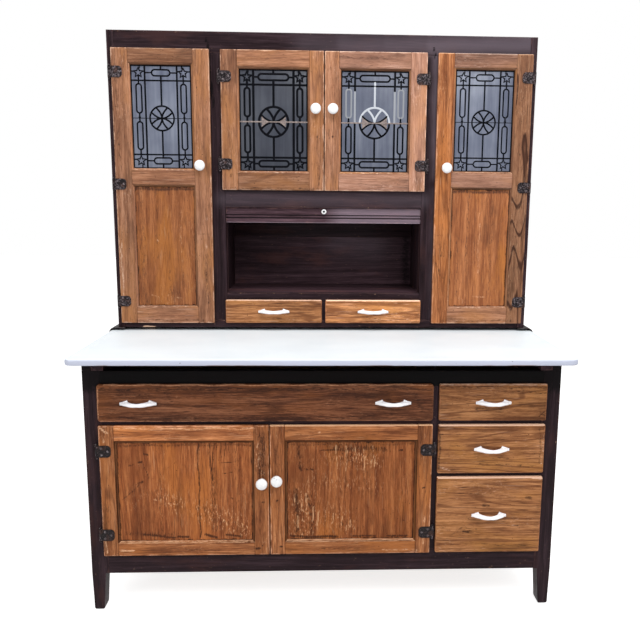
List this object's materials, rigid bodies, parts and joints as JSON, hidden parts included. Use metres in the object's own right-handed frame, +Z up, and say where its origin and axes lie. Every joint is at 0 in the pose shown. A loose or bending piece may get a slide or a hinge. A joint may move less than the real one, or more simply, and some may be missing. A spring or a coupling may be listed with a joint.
{
  "type": "hoosier cabinet",
  "caption": "Two part kitchen cabinet with glazed hutch doors, a roll front over a niche, a sliding enamelled worktop, and a base with doors and drawers.",
  "frame": {"origin": "middle of the whole footprint, on the floor", "axes": "+Z up, -Y towards the front with the doors, +X to the right seen from the front"},
  "size_m": [1.432, 0.763, 1.737],
  "materials": {
    "case_wood": "very dark stain, satin, worn reddish at the edges",
    "oak": "medium brown oak, satin varnish, worn",
    "inside_wood": "plain unpainted boards",
    "white_enamel": "glossy white enamel on sheet steel",
    "white_pull": "white enamel, slightly chipped",
    "porcelain": "white glazed knob",
    "hinge_iron": "dark worn iron",
    "track_steel": "dark painted steel channel",
    "leaded_glass": "frosted panes with black lines"
  },
  "bodies": {
    "cabinet": {"base_posts": "case_wood", "base_panels": "case_wood", "base_front_rails": "case_wood", "base_partition": "case_wood", "base_floor_shelf": "inside_wood", "base_side_rails": "case_wood", "drawer_runners": "inside_wood", "hutch_sides": "case_wood", "hutch_top_bottom": "case_wood", "hutch_back": "case_wood", "hutch_face_frame": "case_wood", "hutch_partitions": "case_wood", "hutch_shelves": "inside_wood", "tambour_tracks": "case_wood", "worktop_tracks": "track_steel", "hinge_frame_leaves": "hinge_iron"},
    "worktop": {"worktop_enamel": "white_enamel", "worktop_core": "inside_wood", "worktop_battens": "inside_wood"},
    "tambour": {"tambour_rail": "case_wood", "tambour_slats": "case_wood", "tambour_button": "porcelain"},
    "door_left": {"door_left_frame": "oak", "door_left_glass": "leaded_glass", "door_left_panel": "oak", "door_left_knob": "porcelain", "door_left_leaves": "hinge_iron"},
    "door_right": {"door_right_frame": "oak", "door_right_glass": "leaded_glass", "door_right_panel": "oak", "door_right_knob": "porcelain", "door_right_leaves": "hinge_iron"},
    "door_center_left": {"door_center_left_frame": "oak", "door_center_left_glass": "leaded_glass", "door_center_left_knob": "porcelain", "door_center_left_leaves": "hinge_iron"},
    "door_center_right": {"door_center_right_frame": "oak", "door_center_right_glass": "leaded_glass", "door_center_right_knob": "porcelain", "door_center_right_leaves": "hinge_iron"},
    "base_door_left": {"base_door_left_frame": "oak", "base_door_left_panel": "oak", "base_door_left_knob": "porcelain", "base_door_left_leaves": "hinge_iron"},
    "base_door_right": {"base_door_right_frame": "oak", "base_door_right_panel": "oak", "base_door_right_knob": "porcelain", "base_door_right_leaves": "hinge_iron"},
    "small_drawer_left": {"small_drawer_left": "oak", "small_drawer_left_pull": "white_pull"},
    "small_drawer_right": {"small_drawer_right": "oak", "small_drawer_right_pull": "white_pull"},
    "wide_drawer": {"wide_drawer": "oak", "wide_drawer_pulls": "white_pull"},
    "bank_drawer_top": {"bank_drawer_top": "oak", "bank_drawer_top_pull": "white_pull"},
    "bank_drawer_middle": {"bank_drawer_middle": "oak", "bank_drawer_middle_pull": "white_pull"},
    "bank_drawer_bottom": {"bank_drawer_bottom": "oak", "bank_drawer_bottom_pull": "white_pull"}
  },
  "joints": [
    {"name": "worktop_slide", "type": "slide", "parent": "cabinet", "child": "worktop", "axis": [0, -1, 0], "range_m": [-0.045, 0.19]},
    {"name": "tambour_slide", "type": "slide", "parent": "cabinet", "child": "tambour", "axis": [0, 0, -1], "range_m": [0, 0.232], "deforming": ["tambour_slats"]},
    {"name": "door_left_hinge", "type": "hinge", "parent": "cabinet", "child": "door_left", "pos_m": [-0.679, 0.0759, 1.2445], "axis": [0, 0, -1], "range_deg": [0, 110]},
    {"name": "door_right_hinge", "type": "hinge", "parent": "cabinet", "child": "door_right", "pos_m": [0.679, 0.0759, 1.2445], "axis": [0, 0, 1], "range_deg": [0, 110]},
    {"name": "door_center_left_hinge", "type": "hinge", "parent": "cabinet", "child": "door_center_left", "pos_m": [-0.337, 0.0759, 1.464], "axis": [0, 0, -1], "range_deg": [0, 110]},
    {"name": "door_center_right_hinge", "type": "hinge", "parent": "cabinet", "child": "door_center_right", "pos_m": [0.337, 0.0759, 1.464], "axis": [0, 0, 1], "range_deg": [0, 110]},
    {"name": "base_door_left_hinge", "type": "hinge", "parent": "cabinet", "child": "base_door_left", "pos_m": [-0.652, -0.3181, 0.376], "axis": [0, 0, -1], "range_deg": [0, 110]},
    {"name": "base_door_right_hinge", "type": "hinge", "parent": "cabinet", "child": "base_door_right", "pos_m": [0.321, -0.3181, 0.376], "axis": [0, 0, 1], "range_deg": [0, 90]},
    {"name": "small_drawer_left_slide", "type": "slide", "parent": "cabinet", "child": "small_drawer_left", "axis": [0, -1, 0], "range_m": [0, 0.18]},
    {"name": "small_drawer_right_slide", "type": "slide", "parent": "cabinet", "child": "small_drawer_right", "axis": [0, -1, 0], "range_m": [0, 0.18]},
    {"name": "wide_drawer_slide", "type": "slide", "parent": "cabinet", "child": "wide_drawer", "axis": [0, -1, 0], "range_m": [0, 0.4]},
    {"name": "bank_drawer_top_slide", "type": "slide", "parent": "cabinet", "child": "bank_drawer_top", "axis": [0, -1, 0], "range_m": [0, 0.4]},
    {"name": "bank_drawer_middle_slide", "type": "slide", "parent": "cabinet", "child": "bank_drawer_middle", "axis": [0, -1, 0], "range_m": [0, 0.4]},
    {"name": "bank_drawer_bottom_slide", "type": "slide", "parent": "cabinet", "child": "bank_drawer_bottom", "axis": [0, -1, 0], "range_m": [0, 0.4]}
  ]
}
